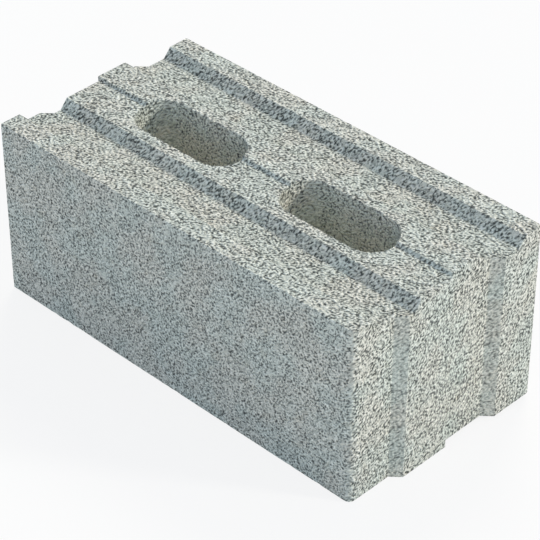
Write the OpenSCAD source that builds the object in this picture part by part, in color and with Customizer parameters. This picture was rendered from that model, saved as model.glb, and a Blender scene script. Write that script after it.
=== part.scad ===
// Interlocking concrete wall block: a stepped crown and bed, two grooves along the crown, two through
// cores, and ends that step sideways so that neighbouring blocks nest.

/* [Block] */
// Length of the block along one face, from end to end
block_length = 500; // [440:1:640]
// Width from the front face to the back face
block_width = 251; // [200:1:320]
// Height of the front half, from bed to crown
block_height = 212; // [120:1:300]
// Radius of the four upright corners
corner_radius = 2; // [1:0.5:12]
// Bevel along the four long outer edges
edge_bevel = 1; // [0.5:0.5:6]

/* [Step] */
// Distance of the step in the crown and the bed behind the block's middle line
step_shift = 4; // [-8:0.5:8]
// Height by which the crown's back half stands above its front half
step_height = 3.5; // [3:0.5:20]
// Radius of the hollow at the foot of the crown's step
step_cove = 1.5; // [1:0.5:8]
// Play left under the back half when blocks are stacked
bed_play = 1; // [0:0.5:6]

/* [Crown grooves] */
// Flat shoulder between a groove and the face beside it
shoulder_width = 26; // [12:0.5:36]
// Width of a groove at its mouth
groove_mouth = 56; // [30:0.5:64]
// Depth of a groove
groove_depth = 11; // [4:0.5:25]
// Run of a groove's front flank, measured level
groove_front_run = 11; // [2:0.5:14]
// Run of a groove's rear flank, measured level
groove_rear_run = 9.5; // [2:0.5:14]

/* [Ends] */
// Sideways step that each flank gives an end
flank_step = 11; // [4:0.5:20]
// Run of a flank across the block
flank_run = 10; // [4:0.5:20]
// Distance from the front face to the right end's front flank
front_flank_inset = 56; // [30:0.5:80]
// Distance from the back face to the right end's back flank
back_flank_inset = 55.5; // [30:0.5:80]
// Sideways step, the other way, between the front half and the back half of an end
end_jog = 3.5; // [1:0.5:8]
// Play between the flanks of neighbouring blocks, measured across the block
end_play = 2; // [0:0.5:6]

/* [Cores] */
// Length of a core, over its round ends
core_length = 142; // [70:1:170]
// Width of a core
core_width = 58; // [20:1:64]
// Distance between the middles of the two cores
core_pitch = 210; // [180:1:240]

/* [Hidden] */
$fn = 64;
crown_front = block_height;
crown_back = block_height + step_height;
bed_back = step_height + bed_play;
step_offset = block_width / 2 + step_shift;
// The hollow stays a little lower than the step
cove = min(step_cove, step_height - 1);
front_groove_offset = shoulder_width;
back_groove_offset = block_width - shoulder_width - groove_mouth;
back_flank_offset = block_width - back_flank_inset - flank_run;
// Distance from one end's back corner to its front corner, along the block
end_reach = 2 * flank_step - end_jog;
reach = block_length + end_reach;
core_radius = core_width / 2;
// Half the distance between the middles of a core's two round ends
core_half = core_length / 2 - core_radius;
// Room by which a cutting shape passes the surface that it cuts
past = 5;
concrete = [0.66, 0.68, 0.66];

// Mouth, floor and mouth of one groove, from front to back
function groove_points(offset, crown) = [
    [offset, crown],
    [offset + groove_front_run, crown - groove_depth],
    [offset + groove_mouth - groove_rear_run, crown - groove_depth],
    [offset + groove_mouth, crown],
];

// One end seen from above, from the front face to the back face, its flanks set forward by some play
function end_points(x, play) = [
    [x, 0],
    [x, front_flank_inset - play],
    [x + flank_step, front_flank_inset + flank_run - play],
    [x + flank_step, step_offset],
    [x + flank_step - end_jog, step_offset],
    [x + flank_step - end_jog, back_flank_offset - play],
    [x + end_reach, back_flank_offset + flank_run - play],
    [x + end_reach, block_width],
];

function reversed(points) = [for (i = [len(points) - 1 : -1 : 0]) points[i]];

// Upright section, drawn with the front face at 0
module section() {
    difference() {
        polygon(concat(
            [[0, edge_bevel], [0, crown_front - edge_bevel], [edge_bevel, crown_front]],
            groove_points(front_groove_offset, crown_front),
            [[step_offset - cove, crown_front], [step_offset, crown_front + cove]],
            [[step_offset, crown_back]],
            groove_points(back_groove_offset, crown_back),
            [[block_width - edge_bevel, crown_back], [block_width, crown_back - edge_bevel]],
            [[block_width, bed_back + edge_bevel], [block_width - edge_bevel, bed_back]],
            [[step_offset, bed_back], [step_offset, 0], [edge_bevel, 0]]
        ));
        // The hollow takes the slope at the step's foot down to a round
        translate([step_offset - cove, crown_front + cove]) circle(cove);
    }
}

// What a rounded corner takes off the square one, with the corner at the origin
module corner_waste() {
    difference() {
        translate([-past, -past]) square(corner_radius + past);
        translate([corner_radius, corner_radius]) circle(corner_radius);
    }
}

// Outline from above, with the front face's left corner at the origin
module plan() {
    difference() {
        polygon(concat(end_points(0, end_play), reversed(end_points(block_length, 0))));
        corner_waste();
        translate([block_length, 0]) mirror([1, 0]) corner_waste();
        translate([end_reach, block_width]) mirror([0, 1]) corner_waste();
        translate([reach, block_width]) rotate(180) corner_waste();
    }
}

// One core, right through the block, about the origin
module core() {
    translate([0, 0, -past]) linear_extrude(crown_back + 2 * past) {
        square([2 * core_half, core_width], center = true);
        for (side = [-1, 1]) translate([side * core_half, 0]) circle(core_radius);
    }
}

module block() {
    color(concrete)
    translate([-reach / 2, -block_width / 2, 0])
    difference() {
        intersection() {
            linear_extrude(crown_back + past) plan();
            translate([-past, 0, 0]) rotate([90, 0, 90]) linear_extrude(reach + 2 * past) section();
        }
        for (side = [-1, 1]) translate([(reach + side * core_pitch) / 2, block_width / 2, 0]) core();
    }
}

block();
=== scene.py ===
import math
import bmesh
import bpy
import numpy as np
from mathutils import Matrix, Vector, noise


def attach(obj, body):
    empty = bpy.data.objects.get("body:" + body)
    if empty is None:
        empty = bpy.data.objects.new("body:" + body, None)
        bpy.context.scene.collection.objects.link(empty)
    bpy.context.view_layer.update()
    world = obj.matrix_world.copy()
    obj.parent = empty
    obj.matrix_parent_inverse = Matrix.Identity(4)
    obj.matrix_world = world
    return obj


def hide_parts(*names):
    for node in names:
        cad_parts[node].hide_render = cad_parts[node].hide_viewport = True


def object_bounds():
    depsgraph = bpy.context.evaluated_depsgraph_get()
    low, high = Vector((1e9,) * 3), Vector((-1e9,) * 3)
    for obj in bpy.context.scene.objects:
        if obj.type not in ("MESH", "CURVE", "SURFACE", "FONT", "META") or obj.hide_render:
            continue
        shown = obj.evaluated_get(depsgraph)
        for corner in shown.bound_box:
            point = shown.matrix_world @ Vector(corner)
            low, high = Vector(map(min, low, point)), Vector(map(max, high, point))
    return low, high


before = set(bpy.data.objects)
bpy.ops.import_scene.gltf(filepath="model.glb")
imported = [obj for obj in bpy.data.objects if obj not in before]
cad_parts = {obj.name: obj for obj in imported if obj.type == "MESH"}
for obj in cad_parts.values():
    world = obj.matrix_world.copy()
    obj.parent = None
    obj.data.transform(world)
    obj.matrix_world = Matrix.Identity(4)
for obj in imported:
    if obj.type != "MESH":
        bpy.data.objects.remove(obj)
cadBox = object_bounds()
print("frame loaded, box", [tuple(round(c, 4) for c in corner) for corner in cadBox])

mm = 0.001  # one millimetre in Blender's metres

# what a user would change on the block's skin, lengths in metres
skinLook = {
    "depth": 8,               # halvings of the remesh grid
    "fill": 0.712,            # share of the grid that the block's length takes, so its cell is 2.8 mm
    "creaseAngle": math.radians(24),
    "rounding": 0.9 * mm,     # how far an outer edge is rounded off
    "roundingFrom": math.radians(60),
    "frontCorner": 8.5 * mm,  # radius of the right end's two upright corners
    "backCorner": 5 * mm,
    "lumpSize": 6.5 * mm,     # coarse stones that show as low lumps
    "lumpDepth": 0.2 * mm,
    "waveSize": 55 * mm,      # slow unevenness of a vibrated face
    "waveDepth": 0.1 * mm,
    "edgeBend": 0.3,          # an edge that stands out by this share of a cell wears fully
    "wearReach": 2,           # how many mesh cells the wear spreads from an edge
    "wearGain": 2,            # brings the wear back up after it has spread
    "wearDepth": 0.05 * mm,   # even wear along an edge
    "chipSize": 9 * mm,
    "chipDepth": 0.9 * mm,    # crumbled spots along an edge
    "chipsFrom": 0.2,         # noise below this leaves the edge whole
    "seed": Vector((3.1, 7.7, 1.9)),
    "foldAngle": math.radians(100),  # two faces that meet at more than this have folded over
    "foldPasses": 12,
    "foldEase": {"factor": 0.5, "use_axis_x": True, "use_axis_y": True, "use_axis_z": True},
}


def readMesh(mesh):
    points = np.zeros(len(mesh.vertices) * 3)
    mesh.vertices.foreach_get("co", points)
    normals = np.zeros(len(mesh.vertices) * 3)
    mesh.vertices.foreach_get("normal", normals)
    edges = np.zeros(len(mesh.edges) * 2, dtype=np.int64)
    mesh.edges.foreach_get("vertices", edges)
    return points.reshape(-1, 3), normals.reshape(-1, 3), edges.reshape(-1, 2)


def neighbourMean(values, edges):
    total = np.zeros_like(values)
    count = np.zeros(len(values))
    for a, b in ((0, 1), (1, 0)):
        np.add.at(total, edges[:, a], values[edges[:, b]])
        np.add.at(count, edges[:, a], 1)
    return (total.T / np.maximum(count, 1)).T


def noiseAt(points, size, seed):
    return np.array([noise.noise(Vector(p) / size + seed) for p in points])


def lumpsAt(points, size, seed):
    # distance to the nearest stone, 0 at its middle
    return np.array([noise.voronoi(Vector(p) / size + seed)[0][0] for p in points])


def evenMesh(name, node):
    # the CAD solid again as small even faces, its edges kept sharp
    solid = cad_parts[node].data.copy()
    welded = bmesh.new()
    welded.from_mesh(solid)
    bmesh.ops.remove_doubles(welded, verts=welded.verts, dist=0.001 * mm)
    welded.to_mesh(solid)
    welded.free()
    piece = bpy.data.objects.new(name, solid)
    bpy.context.scene.collection.objects.link(piece)
    remesh = piece.modifiers.new("even cells", "REMESH")
    remesh.mode = "SHARP"
    remesh.octree_depth = skinLook["depth"]
    remesh.scale = skinLook["fill"]
    remesh.use_remove_disconnected = False
    bevel = piece.modifiers.new("rounded edges", "BEVEL")
    bevel.width = skinLook["rounding"]
    bevel.segments = 2
    bevel.limit_method = "ANGLE"
    bevel.angle_limit = skinLook["roundingFrom"]
    bevel.use_clamp_overlap = False
    graph = bpy.context.evaluated_depsgraph_get()
    mesh = bpy.data.meshes.new_from_object(piece.evaluated_get(graph))
    piece.modifiers.clear()
    piece.data = mesh
    mesh.name = name
    return piece


def roundCorners(points):
    # pulls the upright corners of the right end in to a round
    front = (cadBox[0][1], 1, skinLook["frontCorner"])
    back = (cadBox[1][1], -1, skinLook["backCorner"])
    for face, inward, radius in (front, back):
        end = points[np.abs(points[:, 1] - face) < radius, 0].max()
        middle = np.array((end - radius, face + inward * radius))
        away = points[:, :2] - middle
        reach = np.linalg.norm(away, axis=1)
        outside = (away[:, 0] > 0) & (away[:, 1] * inward < 0) & (reach > radius)
        points[outside, :2] = middle + away[outside] * (radius / reach[outside])[:, None]


def mendFolds(mesh):
    # evens out the few small faces that fold over at the block's corners
    work = bmesh.new()
    work.from_mesh(mesh)
    for _ in range(skinLook["foldPasses"]):
        folds = [e for e in work.edges if e.calc_face_angle(0) > skinLook["foldAngle"]]
        corners = {v for e in folds for f in e.link_faces for v in f.verts}
        bmesh.ops.smooth_vert(work, verts=list(corners), **skinLook["foldEase"])
        work.normal_update()
    work.to_mesh(mesh)
    work.free()


def makeSkin(name, node):
    piece = evenMesh(name, node)
    mesh = piece.data
    mesh.polygons.foreach_set("use_smooth", [True] * len(mesh.polygons))
    mesh.set_sharp_from_angle(angle=skinLook["creaseAngle"])
    points = readMesh(mesh)[0]
    roundCorners(points)
    mesh.vertices.foreach_set("co", points.ravel())
    mesh.update()
    points, normals, edges = readMesh(mesh)

    cell = np.linalg.norm(points[edges[:, 0]] - points[edges[:, 1]], axis=1).mean()
    inward = ((neighbourMean(points, edges) - points) * normals).sum(axis=1)
    wear = np.clip(-inward / (skinLook["edgeBend"] * cell), 0, 1)  # 1 on a sharp outer edge
    for _ in range(skinLook["wearReach"]):
        wear = 0.5 * wear + 0.5 * neighbourMean(wear, edges)
    wear = np.clip(wear * skinLook["wearGain"], 0, 1)

    seed = skinLook["seed"]
    lumps = np.clip(lumpsAt(points, skinLook["lumpSize"], seed), 0, 1)
    waves = 0.5 + 0.5 * noiseAt(points, skinLook["waveSize"], seed)
    chips = noiseAt(points, skinLook["chipSize"], seed * 2) - skinLook["chipsFrom"]
    depth = skinLook["lumpDepth"] * lumps + skinLook["waveDepth"] * waves
    depth += wear * (skinLook["wearDepth"] + skinLook["chipDepth"] * np.clip(chips, 0, 1))
    points -= normals * depth[:, None]
    points = np.clip(points, cadBox[0], cadBox[1])  # nothing outside the CAD box or below the floor
    mesh.vertices.foreach_set("co", points.ravel())
    mesh.update()
    mendFolds(mesh)
    print(name, "has", sum(len(p.vertices) - 2 for p in mesh.polygons), "triangles")
    return piece


class Wire:
    # a shader socket that Python arithmetic adds Math nodes to
    def __init__(self, graph, socket):
        self.graph = graph
        self.socket = socket

    def maths(self, operation, first, second):
        return self.graph.node("ShaderNodeMath", {"operation": operation}, {0: first, 1: second})

    def __add__(self, other):
        return self.maths("ADD", self, other)

    def __radd__(self, other):
        return self.maths("ADD", other, self)

    def __sub__(self, other):
        return self.maths("SUBTRACT", self, other)

    def __rsub__(self, other):
        return self.maths("SUBTRACT", other, self)

    def __mul__(self, other):
        return self.maths("MULTIPLY", self, other)

    def __rmul__(self, other):
        return self.maths("MULTIPLY", other, self)


class Graph:
    # the node tree of a material or of the world
    def __init__(self, owner):
        owner.use_nodes = True
        self.owner = owner
        self.tree = owner.node_tree
        self.tree.nodes.clear()

    def node(self, kind, settings=None, sockets=None, out=0):
        made = self.tree.nodes.new(kind)
        for key, value in (settings or {}).items():
            if key == "stops":
                self.setStops(made.color_ramp, value)
            else:
                setattr(made, key, value)
        for key, value in (sockets or {}).items():
            if isinstance(value, Wire):
                self.tree.links.new(value.socket, made.inputs[key])
            else:
                made.inputs[key].default_value = value
        return Wire(self, made.outputs[out]) if len(made.outputs) else made

    def setStops(self, ramp, stops):
        while len(ramp.elements) < len(stops):
            ramp.elements.new(1)
        for element, (place, colour) in zip(ramp.elements, stops):
            element.position = place
            element.color = colour

    def smooth(self, value, low, high):
        # 0 at low and 1 at high, which may also be the smaller one
        sockets = {"Value": value, "From Min": low, "From Max": high}
        return self.node("ShaderNodeMapRange", {"interpolation_type": "SMOOTHSTEP"}, sockets)

    def mix(self, amount, first, second, blend="MIX"):
        settings = {"data_type": "RGBA", "blend_type": blend}
        return self.node("ShaderNodeMix", settings, {0: amount, 6: first, 7: second}, out=2)

    def seen(self):
        # 1 where the camera sees this directly, in a reflection or through glass
        kinds = ("Camera", "Glossy", "Transmission")
        rays = [self.node("ShaderNodeLightPath", out=f"Is {kind} Ray") for kind in kinds]
        return rays[0] + rays[1] + rays[2]

    def surface(self, shader, output="ShaderNodeOutputMaterial"):
        self.node(output, None, {"Surface": shader})
        return self.owner


def linear(red, green, blue):
    # a colour picked on screen, 0 to 255, as the shader wants it
    def one(c):
        c /= 255
        return c / 12.92 if c <= 0.04045 else ((c + 0.055) / 1.055) ** 2.4
    return (one(red), one(green), one(blue), 1)


# sizes in millimetres; a pair gives where something sets in and where it is full
concreteLook = {
    "drawnAlong": Vector((1, 1, 1)).normalized(),  # the grain is drawn out a little this way
    "drawnOut": (0.70, 1.12, 1.12),     # finer above 1, first along it and then across
    "grain": 3.6,                       # across a grain
    "bendSize": 4.0,                    # clouds that bend the grains out of shape, and by how much
    "bendBy": (3, 3, 3),
    "crevice": 0.65,                    # half width of the gap between two grains, sunk in the bump and painted dark as shade
    "creviceFloor": 0.1,
    "openSize": 2.6,                    # the gaps are open only where these clouds are thick
    "openFrom": (0.40, 0.62),
    "grit": 2.35,                       # across the sand between the grains
    "stone": 9.0,                       # between the larger smooth stones
    "stoneShare": 0.2,
    "stoneBlur": 0.04,
    "stoneEdge": (0.42, 0.25),          # reach of a stone as a share of its cell
    "stoneRagged": 0.5,                 # how far the sand eats into that edge

    # height runs from 0 at the bottom of a pit to 1
    "level": 0.56,
    "gritRise": 1.2,
    # how far the open gaps lower the height, which paints them darker as shade
    "gapShadeDepth": 0.36,
    "stoneLevel": 0.66,
    "stoneFlat": 0.75,                  # how far a stone evens out what lies over it
    "longFaces": (0.3, 0.5),            # how squarely a face looks to the front or back
    "topFaces": (0.3, 0.6),
    "endFlanks": (0.1, 0.2),
    "longFaceShade": 0.28,                    # how far the long faces get painted shade, duller and with fainter pits
    "flankShade": 0.24,                     # and the slanted flanks of the ends
    "shadedFaceDrop": 0.05,                 # faces with that painted shade are this much duller

    # albedo by height; its dark low end is partly grain tone and partly painted shade in the pits and
    # gaps
    "tones": [
        (0.10, linear(76, 80, 78)),
        (0.30, linear(132, 136, 132)),
        (0.48, linear(194, 198, 191)),
        (0.62, linear(220, 223, 215)),
        (0.80, linear(240, 242, 235)),
    ],
    "stoneTone": linear(210, 212, 203),
    "stoneTint": 0.5,
    "rust": linear(214, 198, 176),
    "rustSize": 14,
    "rustFrom": (0.58, 0.75),
    "rustShare": 0.22,
    "patchSize": 48,                    # broad patches, greenish beside sandy
    "patchFrom": (0.38, 0.62),
    "coolPatch": (0.985, 1.008, 1.0, 1),
    "warmPatch": (1.025, 0.99, 0.965, 1),
    "mottleSize": 45,
    "mottle": 0.07,                     # how far broad patches vary in brightness

    "coreBox": (190, 29.6, 210),        # half length, half width and top around both cores
    "coreBlur": (2, 0.5),               # how softly that box ends, along and across
    "coreFade": 45,                     # depth over which the painted core light sets in
    # painted light deep in the cores: the walls lighter by this lift and warmer by this tint, in place of
    # light bounced inside them
    "coreLift": 0.12,
    "coreLightTint": (1.10, 1.07, 1.02, 1),

    "roughness": 0.92,
    "shine": 0.25,
    "relief": 3.4 * mm,                 # height of the bump from 0 to 1, in metres
    "dipRelief": 0.12,                  # share of it that the gaps sink
}


def coreLightMask(g, spot):
    # 1 deep on the walls of the two cores, 0 on the outside of the block; it places the painted light
    # that makes the core walls lighter and warmer
    along, across, top = concreteLook["coreBox"]
    blurAlong, blurAcross = concreteLook["coreBlur"]
    x, y, z = (g.node("ShaderNodeSeparateXYZ", None, {"Vector": spot}, out=axis) for axis in "XYZ")
    inLength = g.smooth(x * x, along ** 2, (along - blurAlong) ** 2)
    inWidth = g.smooth(y * y, (across + blurAcross) ** 2, across ** 2)
    return inLength * inWidth * g.smooth(z, top, top - concreteLook["coreFade"])


def shadedFaces(g):
    # the long faces and the end flanks, painted as shade: duller and with fainter pits than the top and
    # the ends
    look = concreteLook
    facing = {"Vector": g.node("ShaderNodeTexCoord", out="Normal")}
    nx, ny, nz = (g.node("ShaderNodeSeparateXYZ", None, facing, out=axis) for axis in "XYZ")
    long = g.smooth(ny * ny, *look["longFaces"]) * (1 - g.smooth(nz, *look["topFaces"]))
    flank = g.smooth(nx * nx * ny * ny, *look["endFlanks"])
    return long * look["longFaceShade"] + flank * look["flankShade"]


def concreteMaterial():
    look = concreteLook
    g = Graph(bpy.data.materials.new("open_grained_concrete"))
    place = g.node("ShaderNodeTexCoord", out="Object")
    spot = g.node("ShaderNodeVectorMath", {"operation": "SCALE"}, {0: place, "Scale": 1 / mm})
    toX = look["drawnAlong"].rotation_difference(Vector((1, 0, 0)))
    turn = {"Vector": spot, "Axis": toX.axis, "Angle": toX.angle}
    place = g.node("ShaderNodeVectorRotate", {"rotation_type": "AXIS_ANGLE"}, turn)
    place = g.node("ShaderNodeVectorMath", {"operation": "MULTIPLY"}, {0: place, 1: look["drawnOut"]})

    def clouds(size, detail, out="Fac"):
        sockets = {"Vector": place, "Scale": 1 / size, "Detail": detail}
        return g.node("ShaderNodeTexNoise", None, sockets, out=out)

    # grains packed side by side, with the gaps between them open only here and there and painted dark
    # there as shade
    bend = {0: clouds(look["bendSize"], 1.0, "Color"), 1: look["bendBy"], 2: place}
    bent = g.node("ShaderNodeVectorMath", {"operation": "MULTIPLY_ADD"}, bend)
    grains = {"Vector": bent, "Scale": 1 / look["grain"]}
    toEdge = g.node("ShaderNodeTexVoronoi", {"feature": "DISTANCE_TO_EDGE"}, grains, out="Distance")
    toEdge = toEdge * look["grain"]
    dip = g.smooth(toEdge, 2 * look["crevice"], 0)
    gapShade = g.smooth(toEdge, look["crevice"], look["creviceFloor"])
    gapShade = gapShade * g.smooth(clouds(look["openSize"], 0.0), *look["openFrom"])
    grit = clouds(look["grit"], 0.0)

    # a few cells hold a larger smooth stone
    cells = {"Vector": place, "Scale": 1 / look["stone"]}
    stoneReach = g.node("ShaderNodeTexVoronoi", None, cells, out="Distance")
    stoneTint = g.node("ShaderNodeTexVoronoi", None, cells, out="Color")
    stoneLot = g.node("ShaderNodeSeparateColor", None, {"Color": stoneTint}, out="Red")
    withStone = 1 - look["stoneShare"]
    stone = g.smooth(stoneLot, withStone, withStone + look["stoneBlur"])
    stone = stone * g.smooth(stoneReach + (grit - 0.5) * look["stoneRagged"], *look["stoneEdge"])

    # painted shade: the long faces and end flanks darker and with weaker pit contrast
    faceShade = shadedFaces(g)
    # grain tone, less the painted shade of the open gaps
    rough = (grit - 0.5) * look["gritRise"] - gapShade * look["gapShadeDepth"]
    height = look["level"] - faceShade * look["shadedFaceDrop"] + rough * (1 - faceShade)
    height = height + stone * (look["stoneLevel"] - height) * look["stoneFlat"]
    # painted light: the core walls lighter and warmer with depth, in place of bounced light
    coreLight = coreLightMask(g, spot)
    height = height + coreLight * look["coreLift"]

    base = g.node("ShaderNodeValToRGB", {"stops": look["tones"]}, {"Fac": height})
    base = g.mix(stone * look["stoneTint"], base, look["stoneTone"])
    rusty = g.smooth(clouds(look["rustSize"], 2.0), *look["rustFrom"]) * look["rustShare"]
    base = g.mix(rusty, base, look["rust"], "MULTIPLY")
    sandy = g.smooth(clouds(look["patchSize"], 2.0), *look["patchFrom"])
    patch = g.mix(sandy, look["coolPatch"], look["warmPatch"])
    base = g.mix(1.0, base, patch, "MULTIPLY")
    base = g.mix(coreLight, base, look["coreLightTint"], "MULTIPLY")
    mottle = 1 + (clouds(look["mottleSize"], 3.0) - 0.5) * (2 * look["mottle"])
    base = g.node("ShaderNodeVectorMath", {"operation": "SCALE"}, {0: base, "Scale": mottle})

    relief = {"Strength": 1.0, "Distance": look["relief"], "Height": grit - dip * look["dipRelief"]}
    bump = g.node("ShaderNodeBump", None, relief)
    shader = g.node("ShaderNodeBsdfPrincipled", None, {
        "Base Color": base,
        "Roughness": look["roughness"],
        "Specular IOR Level": look["shine"],
        "Normal": bump,
    })
    return g.surface(shader)


studioLook = {
    "floorSize": 6.0,
    "floor": linear(235, 235, 235),
    "floorLift": 0.85,                    # how far the floor is plain white to the camera
    "sky": (0.69, 0.82, 1.0, 1),          # cool fill from all round
    "skyStrength": 0.58,
    # name: direction towards the lamp, colour, strength, apparent size in degrees
    "lamps": {
        "key": ((1.3, 0.85, 0.8), (1.0, 0.93, 0.80), 1.77, 8),
        "back": ((-0.5, 0.8, 1.0), (1.0, 0.90, 0.74), 1.25, 20),
        "front": ((0.5, -0.75, 0.15), (0.96, 1.0, 0.98), 0.44, 25),
        "left": ((-1.0, 0.3, 0.12), (1.0, 0.96, 0.90), 0.60, 25),
    },
}


def floorMaterial():
    g = Graph(bpy.data.materials.new("pale_floor"))
    matte = g.node("ShaderNodeBsdfDiffuse", None, {"Color": studioLook["floor"]})
    white = g.node("ShaderNodeEmission", None, {"Strength": 1.0})
    lift = g.seen() * studioLook["floorLift"]
    return g.surface(g.node("ShaderNodeMixShader", None, {0: lift, 1: matte, 2: white}))


def makeWorld():
    g = Graph(bpy.data.worlds.new("studio"))
    fill = {"Color": studioLook["sky"], "Strength": studioLook["skyStrength"]}
    sky = g.node("ShaderNodeBackground", None, fill)
    white = g.node("ShaderNodeBackground", None, {"Color": (1, 1, 1, 1), "Strength": 1.0})
    shader = g.node("ShaderNodeMixShader", None, {0: g.seen(), 1: sky, 2: white})
    bpy.context.scene.world = g.surface(shader, "ShaderNodeOutputWorld")


def makeStudio():
    half = studioLook["floorSize"] / 2
    ground = cadBox[0][2]
    mesh = bpy.data.meshes.new("floor")
    corners = [(-half, -half, ground), (half, -half, ground), (half, half, ground), (-half, half, ground)]
    mesh.from_pydata(corners, [], [(0, 1, 2, 3)])
    floor = bpy.data.objects.new("floor", mesh)
    bpy.context.scene.collection.objects.link(floor)
    floor.data.materials.append(floorMaterial())

    for name, (towards, colour, strength, spread) in studioLook["lamps"].items():
        lamp = bpy.data.objects.new(name, bpy.data.lights.new(name, "SUN"))
        lamp.data.energy = strength
        lamp.data.color = colour
        lamp.data.angle = math.radians(spread)
        lamp.rotation_euler = Vector(towards).to_track_quat("Z", "Y").to_euler()
        bpy.context.scene.collection.objects.link(lamp)

    makeWorld()


cameraLook = {
    "azimuth": math.radians(44.48),     # from the front face round to the right end
    "elevation": math.radians(36.79),
    "distance": 2448.55 * mm,
    "aim": Vector((6.9, 2.75, 93.8)) * mm,
    "focalPixels": 2368.3,              # focal length in pixels of the square frame
    "framePixels": 540,
    "sensor": 36.0,
}


def makeCamera():
    look = cameraLook
    turn, lift = look["azimuth"], look["elevation"]
    back = Vector((math.sin(turn) * math.cos(lift), -math.cos(turn) * math.cos(lift), math.sin(lift)))
    camera = bpy.data.objects.new("camera", bpy.data.cameras.new("camera"))
    camera.location = look["aim"] + back * look["distance"]
    camera.rotation_euler = back.to_track_quat("Z", "Y").to_euler()
    camera.data.sensor_width = look["sensor"]
    camera.data.lens = look["sensor"] * look["focalPixels"] / look["framePixels"]
    bpy.context.scene.collection.objects.link(camera)
    bpy.context.scene.camera = camera


makeCamera()
makeStudio()
print("camera and studio set")

skin = makeSkin("concrete_block", "block")
skin.data.materials.clear()
skin.data.materials.append(concreteMaterial())
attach(skin, "root")
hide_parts("block")
print("skin and material done")

bpy.context.scene.view_settings.view_transform = "Standard"
